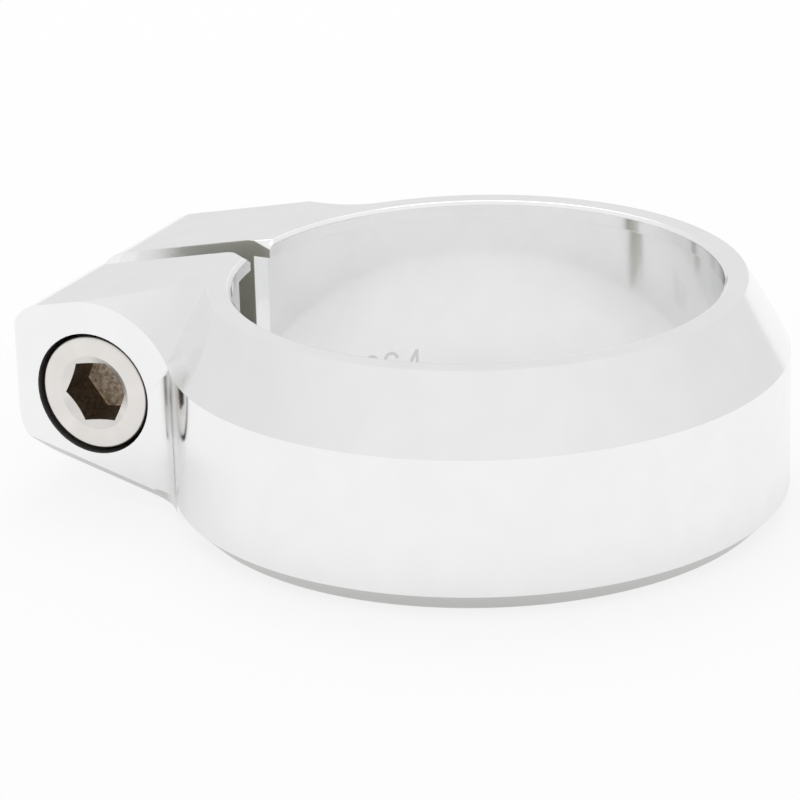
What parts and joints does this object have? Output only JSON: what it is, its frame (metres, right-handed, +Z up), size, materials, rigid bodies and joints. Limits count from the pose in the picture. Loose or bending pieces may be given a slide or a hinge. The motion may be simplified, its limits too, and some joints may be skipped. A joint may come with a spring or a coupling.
{
  "type": "seatpost clamp",
  "caption": "Split ring collar whose slotted ears are drawn together by a socket-head screw; it closes the top of a bicycle seat tube round the seatpost.",
  "frame": {"origin": "on the axis of the gripping bore, in the plane of the bottom face", "axes": "+Z up along the bore axis, towards the lip; -X through the ears; the screw lies along Y with its head towards -Y"},
  "size_m": [0.0545, 0.0444, 0.0164],
  "materials": {
    "collar": "polished and clear anodised",
    "screw": "plain stainless, turned"
  },
  "bodies": {
    "collar": {"collar": "collar"},
    "screw": {"screw": "screw"}
  },
  "joints": [
    {"name": "screw_turn", "type": "hinge", "parent": "collar", "child": "screw", "pos_m": [-0.0254, 0, 0.00798], "axis": [0, 1, 0], "continuous": true}
  ]
}
